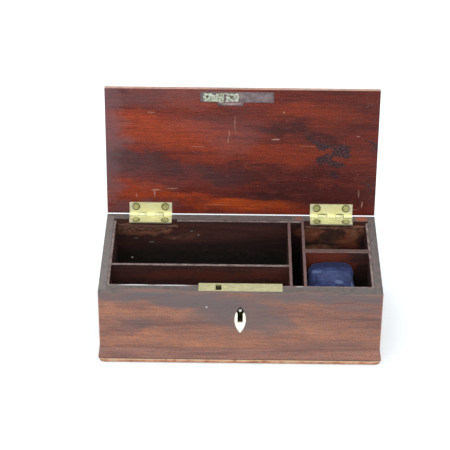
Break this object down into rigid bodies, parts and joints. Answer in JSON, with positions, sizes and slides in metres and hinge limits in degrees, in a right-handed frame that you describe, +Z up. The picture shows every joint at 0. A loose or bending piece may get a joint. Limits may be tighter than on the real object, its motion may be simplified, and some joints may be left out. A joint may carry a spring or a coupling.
{
  "type": "divided wooden box",
  "caption": "Mahogany tabletop box with a hinged lid, divided interior, brass hinges, a mortised box lock, a kite escutcheon and a blue pincushion.",
  "frame": {"origin": "centre of the underside of the base, on the surface that the box stands on", "axes": "+X to the right along the box's length, +Y to the hinged back, +Z up"},
  "size_m": [0.243, 0.1413, 0.1942],
  "materials": {
    "mahogany_case": "old french polish, hazed and worn",
    "mahogany_lid": "red mahogany, satin, scratched",
    "mahogany_moulding": "dark polished mahogany",
    "base_wood": "bare paler wood with a worn edge",
    "lining_wood": "dark oiled, pale worn top edges",
    "hinge_brass": "lightly tarnished",
    "lock_brass": "tarnished",
    "screw_brass": "darkened, worn slots",
    "steel": "worn bright",
    "iron_brads": "dark, slightly rusted",
    "strike_metal": "dull grey tinned plate, broken",
    "bone": "polished bone",
    "cushion_velvet": "worn blue velvet"
  },
  "bodies": {
    "carcase": {"front_board": "mahogany_case", "back_board": "mahogany_case", "left_end_board": "mahogany_case", "right_end_board": "mahogany_case", "bottom_board": "base_wood", "moulding_front": "mahogany_moulding", "moulding_back": "mahogany_moulding", "moulding_left": "mahogany_moulding", "moulding_right": "mahogany_moulding", "lining_front": "lining_wood", "lining_back": "lining_wood", "lining_left": "lining_wood", "lining_right": "lining_wood", "long_divider": "lining_wood", "cross_divider_left": "lining_wood", "cross_divider_right": "lining_wood", "short_divider": "lining_wood", "lock_selvedge": "lock_brass", "lock_case": "lock_brass", "lock_cap": "lock_brass", "lock_spring": "steel", "lock_drill_pin": "steel", "lock_screws": "screw_brass", "escutcheon": "bone", "base_brads": "iron_brads", "hinge_left_body_leaf": "hinge_brass", "hinge_left_pin": "hinge_brass", "hinge_right_body_leaf": "hinge_brass", "hinge_right_pin": "hinge_brass", "hinge_body_screws": "screw_brass", "pincushion": "cushion_velvet"},
    "lid": {"lid_board": "mahogany_lid", "hinge_left_lid_leaf": "hinge_brass", "hinge_right_lid_leaf": "hinge_brass", "hinge_lid_screws": "screw_brass", "strike_plate": "strike_metal", "strike_staple": "strike_metal", "strike_rivets": "strike_metal"},
    "bolt": {"lock_bolt": "lock_brass"}
  },
  "joints": [
    {"name": "lid_hinge", "type": "hinge", "parent": "carcase", "child": "lid", "pos_m": [0, 0.0619, 0.07185], "axis": [1, 0, 0], "range_deg": [0, 95]},
    {"name": "lock_bolt_slide", "type": "slide", "parent": "carcase", "child": "bolt", "axis": [-1, 0, 0], "range_m": [0, 0.005]}
  ]
}
